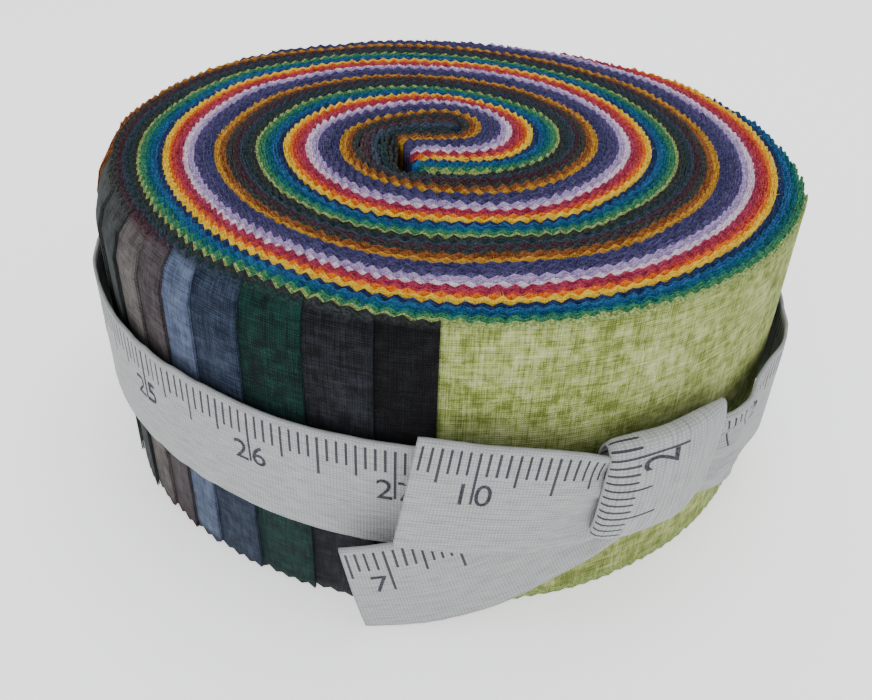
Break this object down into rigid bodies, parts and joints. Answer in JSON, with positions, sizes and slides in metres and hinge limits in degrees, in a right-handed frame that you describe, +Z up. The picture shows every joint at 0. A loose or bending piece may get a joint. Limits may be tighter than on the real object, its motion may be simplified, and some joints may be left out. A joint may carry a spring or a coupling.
{
  "type": "tied roll of pinked fabric strips",
  "caption": "Roll of zigzag-edged cotton strips wound together in a flat spiral, standing on its flat end and tied round with a cotton tape whose two free ends leave the knot.",
  "frame": {"origin": "on the base, under the middle of the roll", "axes": "+Z up along the roll's axis, through its flat spiral ends; -Y is the front, and +X the right as seen from the front"},
  "size_m": [0.1476, 0.1475, 0.0635],
  "materials": {
    "strips": "plain woven quilting cotton in many dyed colours, with pinked zigzag edges",
    "tape": "soft grey-white woven cotton tape with printed dark ticks and plain numbers"
  },
  "bodies": {
    "root": {"strip_roll": "strips", "tape_tie": "tape"}
  },
  "joints": []
}
